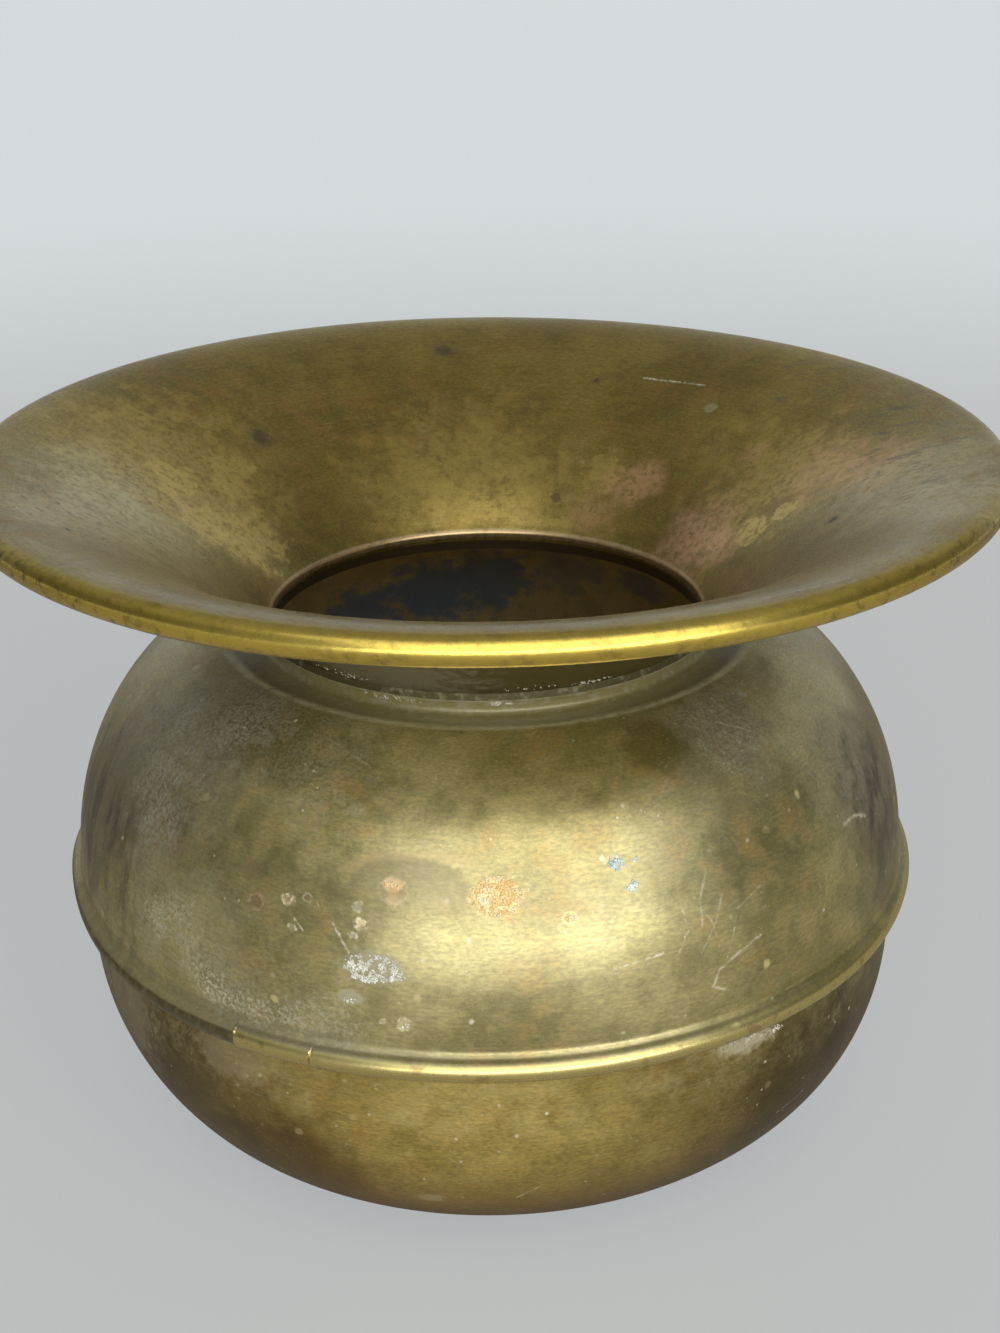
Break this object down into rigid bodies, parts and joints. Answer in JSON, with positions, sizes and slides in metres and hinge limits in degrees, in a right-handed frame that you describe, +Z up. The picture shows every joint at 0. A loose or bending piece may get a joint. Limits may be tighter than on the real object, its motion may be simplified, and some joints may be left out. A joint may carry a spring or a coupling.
{
  "type": "spittoon",
  "caption": "Spun brass spittoon with a wide flared mouth, wired rim, short neck and round body joined by a rolled belly seam.",
  "frame": {"origin": "centre of the base, on the surface that the spittoon stands on", "axes": "+Z up along the axis of the mouth and body; +X to the right in the picture; the picture looks along +Y"},
  "size_m": [0.178, 0.178, 0.1245],
  "materials": {
    "mouth_brass": "aged brass, brown and gold patina inside, handled bright on the rim",
    "body_brass": "aged brass, olive patina with spots and pale residue, satin",
    "bowl_brass": "aged brass, dull olive patina with fine pitting",
    "wire": "dull iron wire, hidden in the rim",
    "solder": "dull grey soft solder with pale residue"
  },
  "bodies": {
    "root": {"mouth_funnel": "mouth_brass", "rim_wire": "wire", "upper_shell": "body_brass", "lower_bowl": "bowl_brass", "neck_solder": "solder", "seam_solder": "solder"}
  },
  "joints": []
}
